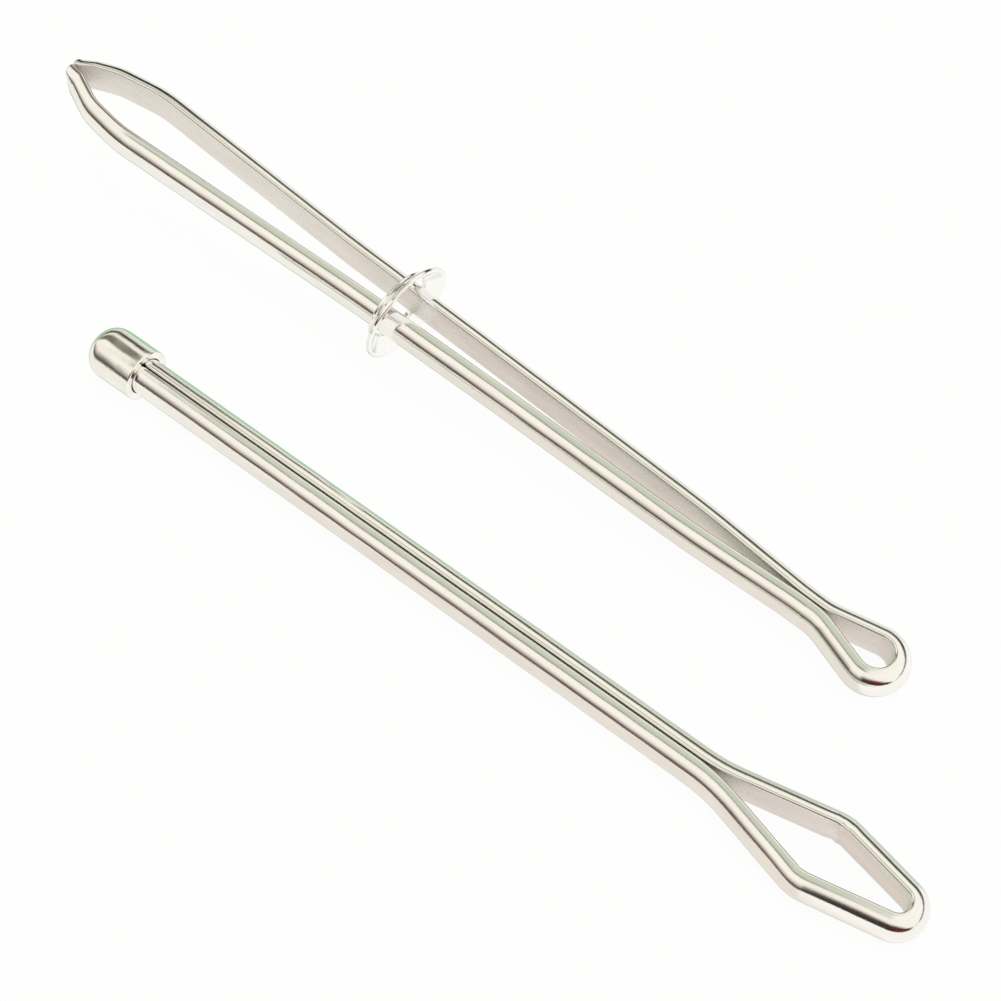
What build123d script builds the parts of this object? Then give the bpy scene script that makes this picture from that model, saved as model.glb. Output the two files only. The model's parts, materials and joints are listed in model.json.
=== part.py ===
from build123d import *
import math
import os

os.makedirs("parts", exist_ok=True)

# A two-piece set of cord and elastic threaders, lying flat on z = 0, in millimetres.
# +X runs from the gripping tip and the capped end towards the two looped ends.
# The spring threader lies on the +Y side and the eye threader on the -Y side.
# Each tool is built in its own frame: local x along the tool from its front end, the
# wire's flat faces standing upright along local z, the long axis at local y = 0.

# Half-round wire shared by both tools
WIRE_HALF_HEIGHT = 1.5
WIRE_THICKNESS = 1.42
WIRE_EDGE_RADIUS = 0.3

# Spring threader: its jaws meet a little to the near side of its axis, on the line JAW_LINE_Y
JAW_TIP_X = 0.9
JAW_LINE_Y = -0.53
JAW_GAP_HALF = 0.03
JAW_HALF_WIDTH = 0.85
JAW_TAPER_SLOPE = 0.68
JAW_TAPER_END_X = 3.4
# Where each arm's flat face bends between the jaws and the neck, as (x, distance from the axis)
FAR_BENDS = [(2.6, 0.25), (4.4, 1.05), (8.6, 1.80), (30.0, 1.06), (48.0, 0.86), (66.0, 0.60)]
NEAR_BENDS = [(2.6, 0.84), (5.3, 2.00), (9.0, 2.45), (34.0, 1.22), (48.0, 0.87), (66.0, 0.60)]
ARM_BEND_RADII = [1.7, 2.0, 6.0, 10.0, 120.0, 120.0, 120.0, 20.0]
NECK_GAP_HALF = 0.05
HINGE_X = 75.6
HINGE_RADIUS = 0.9
HINGE_CLEARANCE = 0.03
LOOP_START_X = 77.5
LOOP_INNER_END_X = 83.2
LOOP_FAR_Y = 1.45
LOOP_NEAR_Y = -1.95
LOOP_INNER_RADIUS = 1.27

# Slide ring on the spring threader: a short barrel that flares out towards the loop
RING_X = 36.5
BARREL_LENGTH = 0.45
BARREL_RADIUS = 3.15
RING_HOLE_RADIUS = 2.8
FLARE_LENGTH = 0.8
FLARE_RADIUS = 4.3
FLARE_EDGE = 0.3
RING_BEND_RADIUS = 0.2

# Eye threader
EYE_TOTAL_LENGTH = 75.27
ROD_END_X = 58.77
EYE_FAR_BEND = (67.47, 1.98)
EYE_NEAR_BEND = (67.07, -2.28)
EYE_END_FAR_Y = 0.64
EYE_END_NEAR_Y = -0.82
ROD_GAP_HALF = 0.12
CAP_LENGTH = 5.0
CAP_RADIUS = 2.12
CAP_DOME_RADIUS = 1.6
CAP_BORE_RADIUS = 1.6
CAP_FLOOR_X = 1.2
CAP_MOUTH_RADIUS = 0.12

# Where each tool's front end lies, and how far its axis turns about Z in degrees
SPRING_FRONT = (-48.133, 7.916)
SPRING_TURN = -0.95
EYE_FRONT = (-27.923, -9.074)
EYE_TURN = 0.95


def wire_along(path, outward):
    """Sweep the half-round section along a flat path; the flat face follows the path."""
    plane = Plane(origin=path @ 0, x_dir=outward, z_dir=path % 0)
    with BuildSketch(plane) as section:
        with BuildLine():
            EllipticalCenterArc(
                (0, 0), WIRE_THICKNESS, WIRE_HALF_HEIGHT, start_angle=-90, arc_size=180
            )
            Line((0, WIRE_HALF_HEIGHT), (0, -WIRE_HALF_HEIGHT))
        make_face()
        fillet(section.vertices(), WIRE_EDGE_RADIUS)
    return sweep(section.sketch, path=path)


def hinge_post(radius):
    """Upright cylinder on the far arm's hinge line."""
    hinge_y = NECK_GAP_HALF + WIRE_THICKNESS / 2
    post = Cylinder(radius, 4 * WIRE_HALF_HEIGHT)
    return Pos(HINGE_X, hinge_y, 0) * post


def x_half_space(x_from, x_to):
    """Tall block filling the range x_from to x_to."""
    return Pos((x_from + x_to) / 2, 0, 0) * Box(x_to - x_from, 40, 40)


def build_arm(jaw_line_y, bends):
    """Spring arm on the +y side, from its tapered jaw to the round end at the neck."""
    jaw_y = jaw_line_y + JAW_GAP_HALF
    path = FilletPolyline(
        (JAW_TIP_X - 1, jaw_y),
        (JAW_TIP_X + 0.3, jaw_y),
        *bends,
        (75.0, NECK_GAP_HALF),
        (HINGE_X + 2 * HINGE_RADIUS, NECK_GAP_HALF),
        radius=ARM_BEND_RADII,
    )
    arm = wire_along(path, (0, 1, 0))
    arm &= x_half_space(JAW_TIP_X, HINGE_X) + hinge_post(HINGE_RADIUS)
    facet_start = jaw_line_y + JAW_HALF_WIDTH
    facet_rise = JAW_TAPER_SLOPE * (JAW_TAPER_END_X - JAW_TIP_X)
    with BuildPart() as taper:
        with BuildSketch():
            Polygon(
                (JAW_TIP_X - 1, facet_start - JAW_TAPER_SLOPE),
                (JAW_TAPER_END_X, facet_start + facet_rise),
                (JAW_TAPER_END_X, 6),
                (JAW_TIP_X - 1, 6),
                align=None,
            )
        extrude(amount=2 * WIRE_HALF_HEIGHT, both=True)
    return arm - taper.part


def build_bow():
    """Teardrop loop whose two ends carry the hollow seats for the arms."""
    path = FilletPolyline(
        (HINGE_X - 1, NECK_GAP_HALF),
        (LOOP_START_X, NECK_GAP_HALF),
        (LOOP_INNER_END_X, LOOP_FAR_Y),
        (LOOP_INNER_END_X, LOOP_NEAR_Y),
        (LOOP_START_X, -NECK_GAP_HALF),
        (HINGE_X - 1, -NECK_GAP_HALF),
        radius=[5.0, LOOP_INNER_RADIUS, LOOP_INNER_RADIUS, 5.0],
    )
    bow = wire_along(path, (0, 1, 0))
    seat = hinge_post(HINGE_RADIUS + HINGE_CLEARANCE)
    return bow - x_half_space(HINGE_X - 3, HINGE_X) - seat - mirror(seat, about=Plane.XZ)


def build_slide_ring():
    """Trumpet-shaped collar; its flared rim faces the loop."""
    rim_x = BARREL_LENGTH + FLARE_LENGTH
    wall = BARREL_RADIUS - RING_HOLE_RADIUS
    with BuildPart() as ring:
        with BuildSketch(Plane.XY) as profile:
            Polygon(
                (0, RING_HOLE_RADIUS),
                (BARREL_LENGTH, RING_HOLE_RADIUS),
                (rim_x, FLARE_RADIUS - FLARE_EDGE),
                (rim_x, FLARE_RADIUS),
                (rim_x - FLARE_EDGE, FLARE_RADIUS),
                (BARREL_LENGTH - wall / 2, BARREL_RADIUS),
                (0, BARREL_RADIUS),
                align=None,
            )
            bends = profile.vertices().filter_by_position(Axis.X, wall / 2, BARREL_LENGTH)
            fillet(bends, RING_BEND_RADIUS)
        revolve(axis=Axis.X)
    return Pos(RING_X, 0, 0) * ring.part


def build_eye_wire():
    """One wire folded into a double rod with a diamond eye at its far end."""
    inner_end_x = EYE_TOTAL_LENGTH - WIRE_THICKNESS
    path = FilletPolyline(
        (CAP_FLOOR_X, ROD_GAP_HALF),
        (ROD_END_X, ROD_GAP_HALF),
        EYE_FAR_BEND,
        (inner_end_x, EYE_END_FAR_Y),
        (inner_end_x, EYE_END_NEAR_Y),
        EYE_NEAR_BEND,
        (ROD_END_X, -ROD_GAP_HALF),
        (CAP_FLOOR_X, -ROD_GAP_HALF),
        radius=[14.0, 2.4, 0.86, 0.86, 2.4, 14.0],
    )
    return wire_along(path, (0, 1, 0))


def build_end_cap():
    """Domed cap closed over the two wire ends."""
    cap = Cylinder(CAP_RADIUS, CAP_LENGTH, align=(Align.CENTER, Align.CENTER, Align.MIN))
    cap = fillet(cap.edges().sort_by(Axis.Z)[0], CAP_DOME_RADIUS)
    bore_depth = CAP_LENGTH - CAP_FLOOR_X
    bore = Cylinder(CAP_BORE_RADIUS, bore_depth, align=(Align.CENTER, Align.CENTER, Align.MIN))
    cap -= Pos(0, 0, CAP_FLOOR_X) * bore
    mouth = cap.edges().filter_by(GeomType.CIRCLE).group_by(Axis.Z)[-1]
    cap = fillet(mouth, CAP_MOUTH_RADIUS)
    return Plane(origin=(0, 0, 0), x_dir=(0, 1, 0), z_dir=(1, 0, 0)) * cap


def resting_place(front, turn, drop, x_high, x_low):
    """Placement of a tool that rests on a raised stop at x_high and on its wire at x_low."""
    pitch = math.degrees(math.atan2(drop, x_low - x_high))
    tilt = Rot(0, 0, turn) * Rot(0, pitch, 0)
    return Pos(front[0], front[1], 0) * tilt


def settle(place, nodes):
    """Place the nodes of one tool and lower them together until they touch z = 0."""
    placed = {name: place * shape for name, shape in nodes.items()}
    low = min(shape.bounding_box().min.Z for shape in placed.values())
    return {name: Pos(0, 0, -low) * shape for name, shape in placed.items()}


spring_nodes = {
    "spring_bow": build_bow(),
    "arm_far": build_arm(JAW_LINE_Y, FAR_BENDS),
    "arm_near": mirror(build_arm(-JAW_LINE_Y, NEAR_BENDS), about=Plane.XZ),
    "slide_ring": build_slide_ring(),
}
eye_nodes = {
    "eye_wire": build_eye_wire(),
    "end_cap": build_end_cap(),
}

spring_place = resting_place(
    SPRING_FRONT,
    SPRING_TURN,
    FLARE_RADIUS - WIRE_HALF_HEIGHT,
    RING_X + BARREL_LENGTH + FLARE_LENGTH,
    LOOP_INNER_END_X + WIRE_THICKNESS,
)
eye_place = resting_place(
    EYE_FRONT,
    EYE_TURN,
    CAP_RADIUS - WIRE_HALF_HEIGHT,
    CAP_LENGTH,
    EYE_TOTAL_LENGTH,
)

nodes = settle(spring_place, spring_nodes)
nodes.update(settle(eye_place, eye_nodes))

for name, shape in nodes.items():
    export_step(shape, f"parts/{name}.step")
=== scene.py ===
import json
import math

import bpy
import numpy as np
from mathutils import Matrix, Vector, noise


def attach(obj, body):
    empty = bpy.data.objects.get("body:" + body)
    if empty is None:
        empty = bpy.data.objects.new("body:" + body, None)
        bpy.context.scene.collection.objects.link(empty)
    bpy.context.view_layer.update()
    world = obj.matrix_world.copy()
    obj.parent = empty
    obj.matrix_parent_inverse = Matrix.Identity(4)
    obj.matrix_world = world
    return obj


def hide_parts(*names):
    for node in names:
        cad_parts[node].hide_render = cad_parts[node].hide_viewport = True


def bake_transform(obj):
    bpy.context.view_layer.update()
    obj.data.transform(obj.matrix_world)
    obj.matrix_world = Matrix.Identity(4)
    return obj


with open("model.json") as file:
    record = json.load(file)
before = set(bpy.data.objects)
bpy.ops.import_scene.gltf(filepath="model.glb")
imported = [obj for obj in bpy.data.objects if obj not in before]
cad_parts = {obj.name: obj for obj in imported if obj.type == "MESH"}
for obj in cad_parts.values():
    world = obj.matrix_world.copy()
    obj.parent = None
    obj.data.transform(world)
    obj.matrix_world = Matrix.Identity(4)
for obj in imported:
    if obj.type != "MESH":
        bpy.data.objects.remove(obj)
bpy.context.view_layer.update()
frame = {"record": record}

# Two tools of plated half-round wire on white paper: a spring threader with a sliding
# ring, and an eye threader with a domed cap. Sizes are in millimetres unless said otherwise.

MM = 0.001

# Half-round wire of both tools; the edges are a little sharper than in the CAD model
HALF_HEIGHT = 1.5
THICKNESS = 1.42
EDGE_RADIUS = 0.21
END_RADIUS = 0.16
FLAT_INSET = 0.02
SECTION_CORE = (0.42 * THICKNESS, 0)
CORNER_STEPS = 9
ROUND_FACE_STEPS = 41
FLAT_STEPS = 9
END_STEPS = 6

# Spring threader, in its own frame: x from the jaw tips to the loop
JAW_TIP_X = 0.9
JAW_FLAT_LENGTH = 0.3
PATH_OVERRUN = 1
JAW_LINE_Y = -0.53
JAW_GAP = 0.03
JAW_HALF_WIDTH = 0.85
JAW_TAPER_SLOPE = 0.68
JAW_TIP_SQUEEZE = 0.12
JAW_SQUEEZE_LENGTH = 1.5
FAR_BENDS = [(2.6, 0.25), (4.4, 1.05), (8.6, 1.80), (30.0, 1.06), (48.0, 0.86), (66.0, 0.60)]
NEAR_BENDS = [(2.6, 0.84), (5.3, 2.00), (9.0, 2.45), (34.0, 1.22), (48.0, 0.87), (66.0, 0.60)]
ARM_BEND_RADII = [1.7, 2.0, 6.0, 10.0, 120.0, 120.0, 120.0, 20.0]
NECK_GAP = 0.05
NECK_START_X = 75.0
NECK_END_X = 77.4
SEAM_X = 76.2
LOOP_START_X = 77.5
LOOP_END_X = 83.2
LOOP_FAR_Y = 1.45
LOOP_NEAR_Y = -1.95
LOOP_PATH_START_X = 74.6
LOOP_BEND_RADII = [5.0, 1.27, 1.27, 5.0]
HANGING_LOOP_X = 81.9

# Slide ring
RING_X = 36.5
RING_YAW = math.radians(-1)
RING_PITCH = math.radians(6)
BARREL_LENGTH = 0.45
BARREL_RADIUS = 3.15
RING_HOLE_RADIUS = 2.8
RIM_X = 1.25
RIM_RADIUS = 4.3
RIM_EDGE = 0.3
RING_EDGE_RADII = [0.1, 0.25, 0.14, 0.12, 0.14, 0.2, 0.1]

# Eye threader, in its own frame: x from the cap to the eye
EYE_LENGTH = 75.27
ROD_GAP = 0.05
ROD_END_X = 58.77
EYE_FAR_BEND = (67.47, 1.98)
EYE_NEAR_BEND = (67.07, -2.28)
EYE_END_FAR_Y = 0.64
EYE_END_NEAR_Y = -0.82
EYE_BEND_RADII = [14.0, 2.4, 0.86, 0.86, 2.4, 14.0]
THREADING_EYE_X = 67.0
CAP_LENGTH = 5.0
CAP_RADIUS = 2.12
CAP_DOME_RADIUS = 1.6
CAP_BORE_RADIUS = 1.53
CAP_FLOOR_X = 1.2
CAP_SKIRT_LENGTH = 1.5
CAP_AXIS_RADIUS = 0.02
CAP_EDGE_RADII = [CAP_DOME_RADIUS, 0.1, 0.16, 0.12, 0.3]

# How finely paths and turned parts are cut
STRAIGHT_STEP = 0.7
ARC_STEP = math.radians(5)
LEAST_ARC_STEPS = 3
HALVINGS = 40
CUT_MARGIN = 0.02
TURNED_STEPS = 160
SHARP_ANGLE = math.radians(38)


# ---------------------------------------------------------------- tool frames

def mount(name):
    """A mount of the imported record: its position in metres and its axis."""
    found = next(m for m in frame["record"]["mounts"] if m["name"] == name)
    return Vector(found["pos_m"]), Vector(found["axis"])


def tool_frame(front_mount, upright_mount, upright_x):
    """Matrix from a tool's own frame in millimetres to the CAD frame in metres."""
    x_axis = -mount(front_mount)[1].normalized()
    position, upward = mount(upright_mount)
    z_axis = upward.normalized()
    y_axis = z_axis.cross(x_axis)
    origin = position - x_axis * upright_x * MM
    turn = Matrix((x_axis, y_axis, z_axis)).transposed().to_4x4()
    return Matrix.Translation(origin) @ turn @ Matrix.Scale(MM, 4)


SPRING = tool_frame("gripping_jaws", "hanging_loop", HANGING_LOOP_X)
EYE = tool_frame("capped_end", "threading_eye", THREADING_EYE_X)


# ---------------------------------------------------------------- flat curves

def rounded_path(corners, radii):
    """Points and headings of a polyline with tangent arcs at its inner corners."""
    corners = [Vector(c) for c in corners]
    points = [corners[0].copy()]
    headings = [math.atan2(*reversed(corners[1] - corners[0]))]

    def run_to(target, heading):
        start = points[-1]
        count = max(1, round((target - start).length / STRAIGHT_STEP))
        for i in range(1, count + 1):
            points.append(start.lerp(target, i / count))
            headings.append(heading)

    for before, corner, after, radius in zip(corners, corners[1:], corners[2:], radii):
        d_in = (corner - before).normalized()
        d_out = (after - corner).normalized()
        turn = math.atan2(d_in.x * d_out.y - d_in.y * d_out.x, d_in.dot(d_out))
        heading = math.atan2(d_in.y, d_in.x)
        tangent = radius * math.tan(abs(turn) / 2)
        run_to(corner - d_in * tangent, heading)
        side = math.copysign(radius, turn)
        centre = points[-1] + Vector((-d_in.y, d_in.x)) * side
        by_angle = round(abs(turn) / ARC_STEP)
        by_length = round(abs(turn) * radius / STRAIGHT_STEP)
        count = max(LEAST_ARC_STEPS, by_angle, by_length)
        for i in range(1, count + 1):
            angle = heading + turn * i / count
            points.append(centre + Vector((math.sin(angle), -math.cos(angle))) * side)
            headings.append(angle)
    run_to(corners[-1], headings[-1])
    return np.array([tuple(p) for p in points]), np.array(headings)


def between(points, headings, x_from, x_to):
    """The part of a path that runs from x_from to x_to, with its ends cut exactly there."""
    steps = np.hypot(*np.diff(points, axis=0).T)
    length = np.concatenate(([0], np.cumsum(steps)))
    cuts = []
    for x, order in ((x_from, 1), (x_to, -1)):
        near = range(len(points) - 1)[::order]
        i = next(k for k in near if min(points[k:k + 2, 0]) <= x <= max(points[k:k + 2, 0]))
        share = (x - points[i, 0]) / (points[i + 1, 0] - points[i, 0])
        cuts.append(length[i] + share * steps[i])
    keep = (length > cuts[0] + CUT_MARGIN) & (length < cuts[1] - CUT_MARGIN)
    at = np.concatenate(([cuts[0]], length[keep], [cuts[1]]))
    columns = [np.interp(at, length, c) for c in (points[:, 0], points[:, 1], headings)]
    return np.column_stack(columns[:2]), columns[2]


# ---------------------------------------------------------------- half-round wire

def wire_section():
    """Closed outline (outward, up) of the half-round wire and which edges are its flat."""

    def on_ellipse(angle):
        point = np.array([THICKNESS * math.sin(angle), HALF_HEIGHT * math.cos(angle)])
        normal = np.array([math.sin(angle) / THICKNESS, math.cos(angle) / HALF_HEIGHT])
        return point, normal / np.linalg.norm(normal)

    # Find where the edge's arc touches both the ellipse and the flat, by halving
    low = 0.0
    high = math.pi / 2
    for _ in range(HALVINGS):
        middle = (low + high) / 2
        point, normal = on_ellipse(middle)
        if point[0] - EDGE_RADIUS * normal[0] < EDGE_RADIUS:
            low = middle
        else:
            high = middle
    point, normal = on_ellipse(low)
    centre = point - EDGE_RADIUS * normal
    start = math.atan2(normal[1], normal[0])
    corner = [
        centre + EDGE_RADIUS * np.array([math.cos(a), math.sin(a)])
        for a in np.linspace(math.pi, start, CORNER_STEPS)
    ]
    face_angles = np.linspace(low, math.pi - low, ROUND_FACE_STEPS)[1:-1]
    round_face = [on_ellipse(a)[0] for a in face_angles]
    mirrored = [p * (1, -1) for p in corner[::-1]]
    flat = [
        np.array([FLAT_INSET * (1 - (z / corner[0][1]) ** 2), z])
        for z in np.linspace(-corner[0][1], corner[0][1], FLAT_STEPS)[1:-1]
    ]
    outline = np.array(corner + round_face + mirrored + flat)
    is_flat = np.zeros(len(outline), bool)
    is_flat[-len(flat) - 1:] = True
    return outline, is_flat


SECTION, SECTION_IS_FLAT = wire_section()


def wire_mesh(name, path, place, round_start=False, round_end=False, deform=None):
    """Sweep the half-round section along a path, with its flat on the path's right."""
    points, headings = path
    steps = np.hypot(*np.diff(points, axis=0).T)
    length = np.concatenate(([0], np.cumsum(steps)))
    rings = [(points[i], headings[i], length[i], 0.0) for i in range(len(points))]

    def rounded_end(index, into):
        """Extra rings that shrink towards the wire's end."""
        point, heading, along, _ = rings[index]
        direction = np.array([math.cos(heading), math.sin(heading)]) * into
        extra = []
        for a in np.linspace(0, math.pi / 2, END_STEPS)[1:]:
            ahead = direction * END_RADIUS * math.sin(a)
            inset = END_RADIUS * (1 - math.cos(a))
            extra.append((point + ahead, heading, along, inset))
        return extra

    if round_start:
        rings = rounded_end(0, -1)[::-1] + rings
    if round_end:
        rings = rings + rounded_end(-1, 1)

    core = np.array(SECTION_CORE)
    reach = np.linalg.norm(SECTION - core, axis=1, keepdims=True)
    vertices = []
    for point, heading, along, inset in rings:
        outward = np.array([-math.sin(heading), math.cos(heading)])
        outline = core + (SECTION - core) * (1 - inset / reach)
        flat_xy = point + outline[:, :1] * outward
        vertices.append(np.column_stack((flat_xy, outline[:, 1])))
    grid = np.array(vertices)
    if deform:
        grid = deform(grid)
    sides = np.linalg.norm(np.roll(SECTION, -1, axis=0) - SECTION, axis=1)
    around = np.concatenate(([0], np.cumsum(sides)))
    along = np.array([r[2] for r in rings])
    return tube_object(name, grid, along, around, place, SECTION_IS_FLAT)


def tube_object(name, grid, along, around, place, satin_and_shade=None, closed_path=False):
    """Object from a grid of rings; both ends are closed with fans unless the path is closed."""
    ring_count, size = grid.shape[:2]
    vertices = [place @ Vector(v) for v in grid.reshape(-1, 3)]
    faces = []
    uvs = []
    slots = []
    last = ring_count if closed_path else ring_count - 1
    for i in range(last):
        for j in range(size):
            k = (j + 1) % size
            n = (i + 1) % ring_count
            faces.append((i * size + j, n * size + j, n * size + k, i * size + k))
            u0 = along[i]
            u1 = along[i + 1]
            v0 = around[j]
            v1 = around[j + 1]
            uvs += [(u0, v0), (u1, v0), (u1, v1), (u0, v1)]
            # Flat faces get the second material, whose darker tint is painted shade
            slots.append(1 if satin_and_shade is not None and satin_and_shade[j] else 0)
    if not closed_path:
        for i, order in ((0, 1), (ring_count - 1, -1)):
            vertices.append(place @ Vector(grid[i].mean(axis=0)))
            hub = len(vertices) - 1
            for j in range(size):
                corner = [hub, i * size + j, i * size + (j + 1) % size]
                corner_uv = [(along[i], v) for v in (0, around[j], around[j + 1])]
                faces.append(corner[::order])
                uvs += corner_uv[::order]
                slots.append(0)
    mesh = bpy.data.meshes.new(name)
    mesh.from_pydata(vertices, [], faces)
    layer = mesh.uv_layers.new(name="wire_mm")
    layer.data.foreach_set("uv", np.array(uvs, np.float32).ravel())
    mesh.polygons.foreach_set("material_index", slots)
    mesh.polygons.foreach_set("use_smooth", [True] * len(faces))
    mesh.update()
    mesh.set_sharp_from_angle(angle=SHARP_ANGLE)
    made = bpy.data.objects.new(name, mesh)
    bpy.context.scene.collection.objects.link(made)
    return made


# ---------------------------------------------------------------- hand-formed surface

FACET_SOFTNESS = 0.12
# Each mark on the eye wire: the corner it lies at, how deep it is and how far it reaches
FAR_BEND_MARK = (EYE_FAR_BEND, 0.10, 0.75)
NEAR_BEND_MARK = (EYE_NEAR_BEND, 0.03, 0.9)
CREASE_WAVES = [(9, 3.1), (5, -4.7)]
BEND_SQUASH = 0.03
# Dents and ripple in the cap, as shares of the radius
DENT_START_RADIUS = 1.75
DENT_SCALE = 0.55
DENT_OFFSET = 4.0
DENT_DEPTH = 0.03
RIPPLE_DEPTH = 0.004
RIPPLE_SCALE = 4


def soft_min(a, b, width):
    """Smooth minimum, so that a ground facet meets the round face with a softened edge."""
    h = np.clip(0.5 + 0.5 * (b - a) / width, 0, 1)
    return b * (1 - h) + a * h - width * h * (1 - h)


def wander(grid, seed, amount, scale):
    """Push the vertices about by slow noise, as drawn and hand-bent wire has."""
    moved = grid.copy()
    for ring in moved:
        for v in ring:
            at = Vector((v[0] * scale + seed, v[1] * scale * 2, v[2] * scale * 2))
            v += amount * np.array(noise.noise_vector(at))
    return moved


def jaw_taper(side, jaw_line_y):
    """Ground facet on the outside of a jaw, a squeezed tip, and a slow wander all along."""

    def deform(grid):
        shaped = grid.copy()
        from_tip = shaped[..., 0] - JAW_TIP_X
        limit = jaw_line_y + JAW_HALF_WIDTH + JAW_TAPER_SLOPE * from_tip
        shaped[..., 1] = soft_min(shaped[..., 1], limit, FACET_SOFTNESS)
        share = np.clip(from_tip / JAW_SQUEEZE_LENGTH, 0, 1)
        ease = share * share * (3 - 2 * share)
        shaped[..., 2] *= 1 - JAW_TIP_SQUEEZE * (1 - ease)
        shaped = wander(shaped, seed=3.1 * side, amount=0.008, scale=0.5)
        shaped[..., 1] *= side
        return shaped

    return deform


def bend_marks(grid):
    """Crumpled creases at the eye's two wide corners, and a slow wander all along."""
    shaped = grid.copy()
    for bend, depth, reach in (FAR_BEND_MARK, NEAR_BEND_MARK):
        distance = np.linalg.norm(shaped[..., :2] - np.array(bend), axis=2)
        near = np.exp(-(distance / reach) ** 2)
        wave = sum(np.sin(shaped[..., 0] * x + shaped[..., 2] * z) for x, z in CREASE_WAVES)
        push = math.copysign(depth / len(CREASE_WAVES), bend[1])
        shaped[..., 1] += push * near * wave
        shaped[..., 2] *= 1 - BEND_SQUASH * near
    return wander(shaped, seed=9.4, amount=0.010, scale=0.45)


# ---------------------------------------------------------------- wires

def arm_path(jaw_line_y, bends):
    """An arm's flat face on the +y side, from the jaw tip to the seam with the loop."""
    jaw_y = jaw_line_y + JAW_GAP
    corners = [
        (JAW_TIP_X - PATH_OVERRUN, jaw_y),
        (JAW_TIP_X + JAW_FLAT_LENGTH, jaw_y),
        *bends,
        (NECK_START_X, NECK_GAP),
        (NECK_END_X, NECK_GAP),
    ]
    path = rounded_path(corners, ARM_BEND_RADII)
    return between(*path, JAW_TIP_X + END_RADIUS, SEAM_X)


def bow_path():
    """The loop's flat face, from the seam with the far arm round to the near arm's."""
    corners = [
        (LOOP_PATH_START_X, NECK_GAP),
        (LOOP_START_X, NECK_GAP),
        (LOOP_END_X, LOOP_FAR_Y),
        (LOOP_END_X, LOOP_NEAR_Y),
        (LOOP_START_X, -NECK_GAP),
        (LOOP_PATH_START_X, -NECK_GAP),
    ]
    path = rounded_path(corners, LOOP_BEND_RADII)
    return between(*path, SEAM_X, SEAM_X)


def eye_path():
    """The eye wire's flat face, out along the far half and back along the near half."""
    end_x = EYE_LENGTH - THICKNESS
    corners = [
        (CAP_FLOOR_X, ROD_GAP),
        (ROD_END_X, ROD_GAP),
        EYE_FAR_BEND,
        (end_x, EYE_END_FAR_Y),
        (end_x, EYE_END_NEAR_Y),
        EYE_NEAR_BEND,
        (ROD_END_X, -ROD_GAP),
        (CAP_FLOOR_X, -ROD_GAP),
    ]
    path = rounded_path(corners, EYE_BEND_RADII)
    return between(*path, CAP_FLOOR_X + END_RADIUS, CAP_FLOOR_X + END_RADIUS)


# ---------------------------------------------------------------- turned parts

def lathe(name, profile, place, dent=None, closed=False):
    """Turn a profile of (x, radius) pairs about the x axis."""
    angles = np.linspace(0, 2 * math.pi, TURNED_STEPS, endpoint=False)
    grid = np.zeros((len(profile), TURNED_STEPS, 3))
    grid[..., 0] = profile[:, :1]
    grid[..., 1] = profile[:, 1:] * np.cos(angles)
    grid[..., 2] = profile[:, 1:] * np.sin(angles)
    if dent:
        grid = dent(grid)
    lengths = np.hypot(*np.diff(np.vstack((profile, profile[:1])), axis=0).T)
    along = np.concatenate(([0], np.cumsum(lengths)))
    around = np.linspace(0, 2 * math.pi * profile[:, 1].max(), TURNED_STEPS + 1)
    return tube_object(name, grid, along, around, place, closed_path=closed)


def ring_profile():
    """Closed profile of the collar: a short barrel that flares to a rounded rim."""
    wall = BARREL_RADIUS - RING_HOLE_RADIUS
    corners = [
        (0, (BARREL_RADIUS + RING_HOLE_RADIUS) / 2),
        (0, RING_HOLE_RADIUS),
        (BARREL_LENGTH, RING_HOLE_RADIUS),
        (RIM_X, RIM_RADIUS - RIM_EDGE),
        (RIM_X, RIM_RADIUS),
        (RIM_X - RIM_EDGE, RIM_RADIUS),
        (BARREL_LENGTH - wall / 2, BARREL_RADIUS),
        (0, BARREL_RADIUS),
        (0, (BARREL_RADIUS + RING_HOLE_RADIUS) / 2),
    ]
    points, _ = rounded_path(corners, RING_EDGE_RADII)
    return points[:-1]


def cap_profile():
    """Open profile of the cap, from the middle of its dome round to its bore's floor."""
    corners = [
        (0, CAP_AXIS_RADIUS),
        (0, CAP_RADIUS),
        (CAP_LENGTH - CAP_SKIRT_LENGTH, CAP_RADIUS),
        (CAP_LENGTH, CAP_RADIUS),
        (CAP_LENGTH, CAP_BORE_RADIUS),
        (CAP_FLOOR_X, CAP_BORE_RADIUS),
        (CAP_FLOOR_X, CAP_AXIS_RADIUS),
    ]
    points, _ = rounded_path(corners, CAP_EDGE_RADII)
    return points


def pressed_dents(grid):
    """Slow dents and a faint ripple in the thin cap, which was pressed onto the wire."""
    shaped = grid.copy()
    for ring in shaped:
        for v in ring:
            if math.hypot(v[1], v[2]) < DENT_START_RADIUS:
                continue
            x, y, z = v * DENT_SCALE
            at = Vector((x, y, z + DENT_OFFSET))
            dent = DENT_DEPTH * max(0.0, noise.noise(at))
            ripple = RIPPLE_DEPTH * noise.noise(at * RIPPLE_SCALE)
            v[1:] *= 1 - dent - ripple
    return shaped


# ---------------------------------------------------------------- materials

# Where the noise texture's values mostly lie, and where a sharp mesh edge gets the painted
# highlight
NOISE_RANGE = (0.3, 0.7)
EDGE_HIGHLIGHT_RANGE = (0.52, 0.62)
EDGE_HIGHLIGHT_SHARE = 0.25
EDGE_HIGHLIGHT_TINT = (1.0, 0.99, 0.96)
ROUGHNESS_SPREAD = 0.3


def new_material(name):
    """A material and its node tree, emptied."""
    made = bpy.data.materials.new(name)
    made.use_nodes = True
    made.node_tree.nodes.clear()
    return made, made.node_tree


def add(tree, kind, **settings):
    """A node with some of its inputs or properties set."""
    node = tree.nodes.new(kind)
    for key, value in settings.items():
        if key in node.inputs:
            node.inputs[key].default_value = value
        else:
            setattr(node, key, value)
    return node


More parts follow.
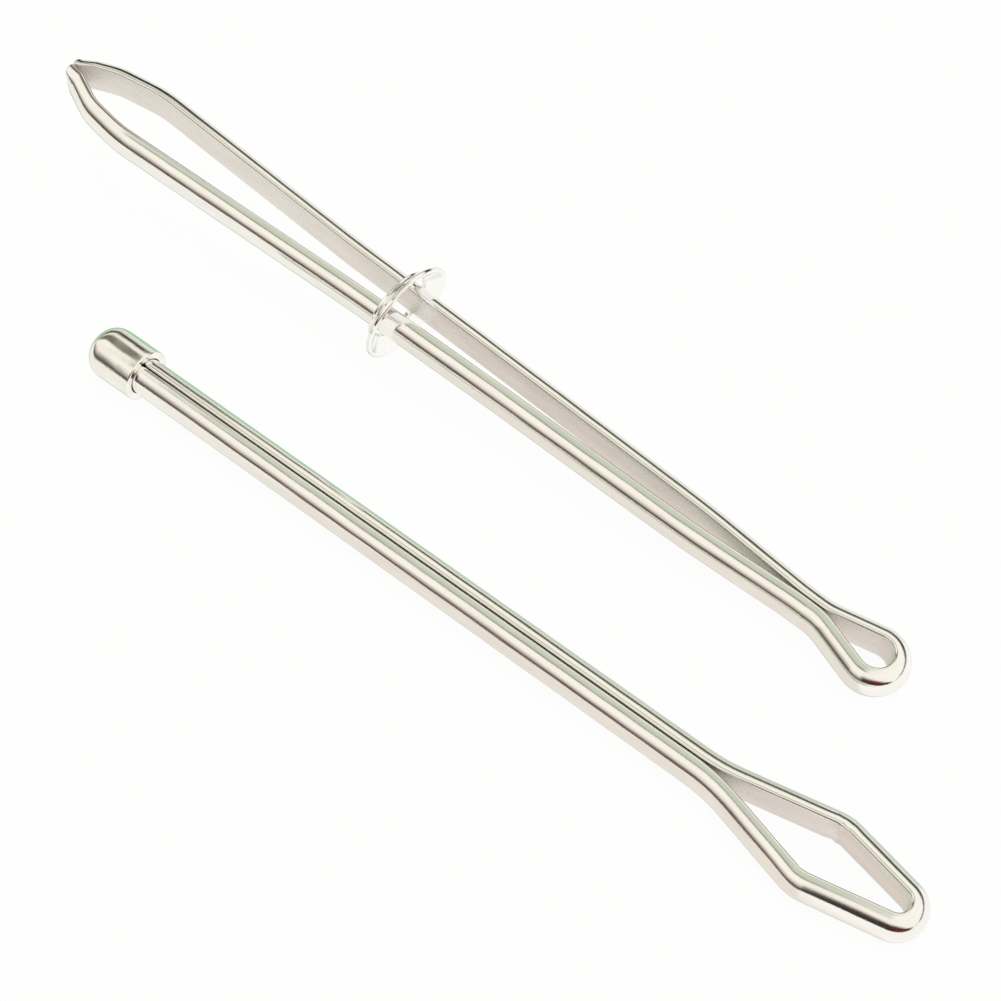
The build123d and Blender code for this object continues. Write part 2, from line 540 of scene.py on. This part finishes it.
def streaks(tree, along, across, detail=4.0):
    """Noise stretched along the wire; the UV map is in millimetres."""
    source = add(tree, "ShaderNodeTexCoord")
    mapping = add(tree, "ShaderNodeMapping", Scale=(along, across, 1))
    texture = add(tree, "ShaderNodeTexNoise", Scale=1.0, Detail=detail, Roughness=0.6)
    tree.links.new(source.outputs["UV"], mapping.inputs["Vector"])
    tree.links.new(mapping.outputs["Vector"], texture.inputs["Vector"])
    return texture.outputs["Fac"]


def remap(tree, value, source, target=(0.0, 1.0)):
    """The value mapped from the source range to the target range, and held at its ends."""
    node = add(tree, "ShaderNodeMapRange")
    for key, number in zip(("From Min", "From Max", "To Min", "To Max"), (*source, *target)):
        node.inputs[key].default_value = number
    tree.links.new(value, node.inputs["Value"])
    return node.outputs["Result"]


def mix_colours(tree, factor, first, second):
    """Mix of two colours, each a socket or a plain triple."""
    node = add(tree, "ShaderNodeMix", data_type="RGBA")
    for key, value in (("A", first), ("B", second)):
        if isinstance(value, tuple):
            node.inputs[key].default_value = (*value, 1)
        else:
            tree.links.new(value, node.inputs[key])
    tree.links.new(factor, node.inputs["Factor"])
    return node.outputs["Result"]


def bump(tree, height, depth, under=None):
    """Normal of a bumpy surface of the given depth in millimetres, over an earlier one."""
    node = add(tree, "ShaderNodeBump", Strength=1.0, Distance=depth * MM)
    tree.links.new(height, node.inputs["Height"])
    if under:
        tree.links.new(under, node.inputs["Normal"])
    return node.outputs["Normal"]


def plate(name, tint, shade, roughness, streak_depth, pit_depth):
    """Nickel plate: mottled tint, drawn streaks, fine pits and a painted highlight on sharp
    edges.
    """
    made, tree = new_material(name)
    mottle = streaks(tree, along=0.25, across=1.1)
    drawn = streaks(tree, along=0.12, across=9.0, detail=3.0)
    pits = streaks(tree, along=7.0, across=7.0, detail=2.0)
    mesh = add(tree, "ShaderNodeNewGeometry")
    # Sharp edges are lightened towards near white: a painted edge highlight.
    edge_highlight = remap(tree, mesh.outputs["Pointiness"], EDGE_HIGHLIGHT_RANGE, (0.0, EDGE_HIGHLIGHT_SHARE))
    mottled = mix_colours(tree, remap(tree, mottle, NOISE_RANGE), shade, tint)
    rough_range = (roughness * (1 - ROUGHNESS_SPREAD), roughness * (1 + ROUGHNESS_SPREAD))
    metal = add(tree, "ShaderNodeBsdfPrincipled", Metallic=1.0)
    normal = bump(tree, pits, pit_depth, bump(tree, drawn, streak_depth))
    tree.links.new(mix_colours(tree, edge_highlight, mottled, EDGE_HIGHLIGHT_TINT), metal.inputs["Base Color"])
    tree.links.new(remap(tree, pits, NOISE_RANGE, rough_range), metal.inputs["Roughness"])
    tree.links.new(normal, metal.inputs["Normal"])
    output = add(tree, "ShaderNodeOutputMaterial")
    tree.links.new(metal.outputs["BSDF"], output.inputs["Surface"])
    return made


# ---------------------------------------------------------------- studio

# What a piece reflects at each height above the near horizon, as degrees and linear
# colour: a pale tent with a dark gap along each horizon. Its middle also has a thin gap at
# the camera's height and a greyer roof. The other three take over to the right and left.
TENT_MIDDLE = [
    (0, (0.12, 0.10, 0.085)),
    (10, (0.12, 0.10, 0.085)),
    (16, (0.42, 0.37, 0.33)),
    (25, (0.80, 0.73, 0.66)),
    (38, (1.02, 0.97, 0.89)),
    (62, (1.00, 0.97, 0.88)),
    (65, (0.30, 0.30, 0.24)),
    (68, (0.30, 0.30, 0.24)),
    (73, (0.57, 0.62, 0.51)),
    (92, (0.65, 0.69, 0.58)),
    (110, (0.58, 0.63, 0.51)),
    (119, (0.95, 0.91, 0.81)),
    (146, (1.03, 0.99, 0.89)),
    (156, (0.84, 0.80, 0.71)),
    (161, (0.085, 0.085, 0.065)),
    (173, (0.085, 0.085, 0.065)),
    (179, (0.32, 0.38, 0.31)),
]
TENT_RIGHT = [
    (0, (0.045, 0.038, 0.028)),
    (27, (0.045, 0.038, 0.028)),
    (34, (0.50, 0.44, 0.38)),
    (44, (0.98, 0.93, 0.86)),
    (156, (1.02, 1.00, 0.93)),
    (162, (0.07, 0.065, 0.05)),
    (175, (0.07, 0.065, 0.05)),
    (180, (0.70, 0.70, 0.65)),
]
TENT_FAR_RIGHT = [
    (0, (0.09, 0.022, 0.014)),
    (33, (0.10, 0.028, 0.018)),
    (40, (0.60, 0.50, 0.44)),
    (48, (1.00, 0.96, 0.88)),
    (160, (1.02, 1.00, 0.95)),
    (165, (0.16, 0.15, 0.12)),
    (173, (0.16, 0.15, 0.12)),
    (178, (0.95, 0.94, 0.90)),
]
TENT_LEFT = [
    (0, (0.10, 0.085, 0.07)),
    (13, (0.10, 0.085, 0.07)),
    (22, (0.42, 0.37, 0.33)),
    (42, (0.98, 0.93, 0.85)),
    (88, (1.00, 0.96, 0.88)),
    (94, (0.19, 0.18, 0.15)),
    (124, (0.19, 0.18, 0.15)),
    (130, (0.95, 0.90, 0.80)),
    (146, (0.80, 0.76, 0.68)),
    (151, (0.05, 0.05, 0.035)),
    (180, (0.05, 0.05, 0.035)),
]
# How far to the side a ray has to run, as the x of its direction, for each to take over
RIGHT_BLEND = (0.0, 0.2)
FAR_RIGHT_BLEND = (0.3, 0.6)
LEFT_BLEND = (-0.46, -0.50)

# The paper sheet, in metres, and the share of it that takes shadows
FLOOR_SIZE = 1.2
FLOOR_DROP = 0.00006
SHADOW_SHARE = 0.06
SHADOW_PAPER = (0.95, 0.95, 0.95, 1)

# What a piece reflects from the paper on the near side, on the far side and to the right
FLOOR_NEAR_TINT = (0.86, 0.80, 0.74)
FLOOR_NEAR_LEFT_TINT = (0.95, 0.92, 0.87)
FLOOR_FAR_TINT = (0.60, 0.67, 0.59)
FLOOR_BETWEEN_TINT = (0.41, 0.64, 0.44)
FLOOR_BEYOND_TINT = (0.86, 0.86, 0.83)
FLOOR_RIGHT_TINT = (1.0, 0.99, 0.96)
# Where those tints take over, by the place on the paper, in metres
NEAR_LEFT_PLACE = (-0.004, -0.024)
BEYOND_PLACE = (0.006, 0.012)
# and by the direction from the paper back to the piece
LEFT_RAY = (0.25, 0.5)
NEAR_RAY = (-0.15, 0.15)
RIGHT_RAY = (0.0, -0.2)

WHITE = (1.0, 1.0, 1.0)
SOFTBOX_SIZE = 0.6
SOFTBOX_WATTS = 1.2
SOFTBOX_PLACE = (0, 0.1, 0.7)

# The camera, fitted to the photo; target, distance and clipping are in metres
VIEW_AZIMUTH = math.radians(40.05)
VIEW_ELEVATION = math.radians(56)
VIEW_DISTANCE = 0.1502
VIEW_TARGET = Vector((0.004305, 0.000778, 0))
LENS_MM = 72.29
SENSOR_MM = 36.0
CLIP_START = 0.005


def tent_ramp(tree, stops, share):
    """Colour ramp over a share of the half turn from the near to the far horizon."""
    ramp = add(tree, "ShaderNodeValToRGB")
    elements = ramp.color_ramp.elements
    while len(elements) < len(stops):
        elements.new(0.5)
    for element, (degrees, _) in zip(elements, stops):
        element.position = degrees / 180
    for element, (_, colour) in zip(elements, stops):
        element.color = (*colour, 1)
    tree.links.new(share, ramp.inputs["Fac"])
    return ramp.outputs["Color"]


def studio_world():
    """White behind the set for the camera, and the tent's ramps for everything else."""
    world = bpy.data.worlds.new("studio_tent")
    bpy.context.scene.world = world
    world.use_nodes = True
    tree = world.node_tree
    tree.nodes.clear()
    source = add(tree, "ShaderNodeTexCoord")
    split = add(tree, "ShaderNodeSeparateXYZ")
    toward = add(tree, "ShaderNodeMath", operation="MULTIPLY")
    toward.inputs[1].default_value = -1.0
    height = add(tree, "ShaderNodeMath", operation="ARCTAN2")
    share = add(tree, "ShaderNodeMath", operation="DIVIDE")
    share.inputs[1].default_value = math.pi
    tree.links.new(source.outputs["Generated"], split.inputs["Vector"])
    tree.links.new(split.outputs["Y"], toward.inputs[0])
    tree.links.new(split.outputs["Z"], height.inputs[0])
    tree.links.new(toward.outputs[0], height.inputs[1])
    tree.links.new(height.outputs[0], share.inputs[0])
    colour = tent_ramp(tree, TENT_MIDDLE, share.outputs[0])
    sides = (
        (TENT_RIGHT, RIGHT_BLEND),
        (TENT_FAR_RIGHT, FAR_RIGHT_BLEND),
        (TENT_LEFT, LEFT_BLEND),
    )
    for stops, blend in sides:
        toward_side = remap(tree, split.outputs["X"], blend)
        colour = mix_colours(tree, toward_side, colour, tent_ramp(tree, stops, share.outputs[0]))
    path = add(tree, "ShaderNodeLightPath")
    colour = mix_colours(tree, path.outputs["Is Camera Ray"], colour, WHITE)
    background = add(tree, "ShaderNodeBackground", Strength=1.0)
    output = add(tree, "ShaderNodeOutputWorld")
    tree.links.new(colour, background.inputs["Color"])
    tree.links.new(background.outputs["Background"], output.inputs["Surface"])


def floor_material():
    """White paper to the camera; reflections see it warm on the near side, green on the far."""
    made, tree = new_material("white_paper")
    path = add(tree, "ShaderNodeLightPath")
    geometry = add(tree, "ShaderNodeNewGeometry")
    view = add(tree, "ShaderNodeSeparateXYZ")
    place = add(tree, "ShaderNodeSeparateXYZ")
    tree.links.new(geometry.outputs["Incoming"], view.inputs["Vector"])
    tree.links.new(geometry.outputs["Position"], place.inputs["Vector"])
    leftward = remap(tree, view.outputs["X"], LEFT_RAY)
    beyond = remap(tree, place.outputs["Y"], BEYOND_PLACE)
    nearward = remap(tree, view.outputs["Y"], NEAR_RAY)
    rightward = remap(tree, view.outputs["X"], RIGHT_RAY)
    near_left = remap(tree, place.outputs["X"], NEAR_LEFT_PLACE)
    tint = mix_colours(tree, leftward, FLOOR_FAR_TINT, FLOOR_BETWEEN_TINT)
    tint = mix_colours(tree, beyond, tint, FLOOR_BEYOND_TINT)
    near_tint = mix_colours(tree, near_left, FLOOR_NEAR_TINT, FLOOR_NEAR_LEFT_TINT)
    tint = mix_colours(tree, nearward, tint, near_tint)
    tint = mix_colours(tree, rightward, tint, FLOOR_RIGHT_TINT)
    seen = add(tree, "ShaderNodeEmission", Strength=1.0)
    tree.links.new(tint, seen.inputs["Color"])
    paper = add(tree, "ShaderNodeEmission", Strength=1.0, Color=(*WHITE, 1))
    shaded = add(tree, "ShaderNodeBsdfDiffuse", Color=SHADOW_PAPER)
    soft = add(tree, "ShaderNodeMixShader", Fac=SHADOW_SHARE)
    tree.links.new(paper.outputs[0], soft.inputs[1])
    tree.links.new(shaded.outputs[0], soft.inputs[2])
    pick = add(tree, "ShaderNodeMixShader")
    tree.links.new(path.outputs["Is Camera Ray"], pick.inputs["Fac"])
    tree.links.new(seen.outputs[0], pick.inputs[1])
    tree.links.new(soft.outputs[0], pick.inputs[2])
    output = add(tree, "ShaderNodeOutputMaterial")
    tree.links.new(pick.outputs[0], output.inputs["Surface"])
    return made


def studio_floor():
    """A plain sheet just under the tools."""
    half = FLOOR_SIZE / 2
    corners = [
        (-half, -half, -FLOOR_DROP),
        (half, -half, -FLOOR_DROP),
        (half, half, -FLOOR_DROP),
        (-half, half, -FLOOR_DROP),
    ]
    mesh = bpy.data.meshes.new("floor")
    mesh.from_pydata(corners, [], [(0, 1, 2, 3)])
    mesh.materials.append(floor_material())
    floor = bpy.data.objects.new("floor", mesh)
    bpy.context.scene.collection.objects.link(floor)


def studio_light():
    """A soft disk overhead that lights the paper but isn't seen in the plate."""
    light = bpy.data.lights.new("overhead_softbox", "AREA")
    light.shape = "DISK"
    light.size = SOFTBOX_SIZE
    light.energy = SOFTBOX_WATTS
    made = bpy.data.objects.new("overhead_softbox", light)
    made.location = SOFTBOX_PLACE
    made.visible_glossy = False
    bpy.context.scene.collection.objects.link(made)


def studio_camera():
    """The camera, looking at VIEW_TARGET from VIEW_AZIMUTH and VIEW_ELEVATION."""
    data = bpy.data.cameras.new("camera")
    data.sensor_width = SENSOR_MM
    data.lens = LENS_MM
    data.clip_start = CLIP_START
    made = bpy.data.objects.new("camera", data)
    level = math.cos(VIEW_ELEVATION)
    direction = Vector((
        math.sin(VIEW_AZIMUTH) * level,
        -math.cos(VIEW_AZIMUTH) * level,
        math.sin(VIEW_ELEVATION),
    ))
    made.location = VIEW_TARGET + direction * VIEW_DISTANCE
    made.rotation_euler = (math.pi / 2 - VIEW_ELEVATION, 0, VIEW_AZIMUTH)
    bpy.context.scene.collection.objects.link(made)
    bpy.context.scene.camera = made


# ---------------------------------------------------------------- the set

WIRE_PLATE = plate(
    "nickel_wire",
    tint=(0.97, 0.955, 0.93),
    shade=(0.90, 0.885, 0.855),
    roughness=0.10,
    streak_depth=0.004,
    pit_depth=0.0015,
)
# Flat faces: rougher than the round face, with a darker tint that is painted shade
WIRE_SATIN_AND_SHADE = plate(
    "satin_flat_and_shade",
    tint=(0.83, 0.79, 0.765),
    shade=(0.75, 0.725, 0.69),
    roughness=0.34,
    streak_depth=0.006,
    pit_depth=0.004,
)
RING_PLATE = plate(
    "ring_plate",
    tint=(0.98, 0.98, 0.97),
    shade=(0.93, 0.93, 0.91),
    roughness=0.08,
    streak_depth=0.002,
    pit_depth=0.002,
)
CAP_PLATE = plate(
    "cap_plate",
    tint=(0.97, 0.96, 0.93),
    shade=(0.88, 0.87, 0.82),
    roughness=0.10,
    streak_depth=0.006,
    pit_depth=0.003,
)


def finish_piece(piece, slot, *materials):
    """Give a piece its materials; its slot argument is not used."""
    for material in materials:
        piece.data.materials.append(material)


def build_spring_tool():
    """Both arms, the loop that joins them, and the leaning ring."""
    for name, side, bends in (("arm_far", 1, FAR_BENDS), ("arm_near", -1, NEAR_BENDS)):
        jaw_line_y = JAW_LINE_Y * side
        path = arm_path(jaw_line_y, bends)
        shape = jaw_taper(side, jaw_line_y)
        arm = wire_mesh(f"{name}_wire", path, SPRING, round_start=True, deform=shape)
        if side < 0:
            arm.data.flip_normals()
        finish_piece(arm, "plated_spring_wire", WIRE_PLATE, WIRE_SATIN_AND_SHADE)
        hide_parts(name)
        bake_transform(arm)

    bow = wire_mesh("loop_wire", bow_path(), SPRING)
    finish_piece(bow, "plated_spring_wire", WIRE_PLATE, WIRE_SATIN_AND_SHADE)
    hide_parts("spring_bow")
    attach(bow, "spring_bow")

    lean = Matrix.Rotation(RING_YAW, 4, "Z") @ Matrix.Rotation(RING_PITCH, 4, "Y")
    middle = Matrix.Translation((RING_X + RIM_X / 2, 0, 0))
    place = SPRING @ middle @ lean @ Matrix.Translation((-RIM_X / 2, 0, 0))
    ring = lathe("slide_ring_collar", ring_profile(), place, closed=True)
    finish_piece(ring, "plated_ring", RING_PLATE)
    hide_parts("slide_ring")
    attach(ring, "slide_ring")


def build_eye_tool():
    """The folded wire and its cap, which lift as one body."""
    wire = wire_mesh("eye_wire_rod", eye_path(), EYE, True, True, deform=bend_marks)
    finish_piece(wire, "plated_eye_wire", WIRE_PLATE, WIRE_SATIN_AND_SHADE)
    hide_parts("eye_wire")
    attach(wire, "eye_tool")

    cap = lathe("end_cap_shell", cap_profile(), EYE, dent=pressed_dents)
    finish_piece(cap, "plated_cap", CAP_PLATE)
    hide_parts("end_cap")
    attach(cap, "eye_tool")


build_spring_tool()
build_eye_tool()
studio_world()
studio_floor()
studio_light()
studio_camera()
bpy.context.scene.view_settings.view_transform = "Standard"
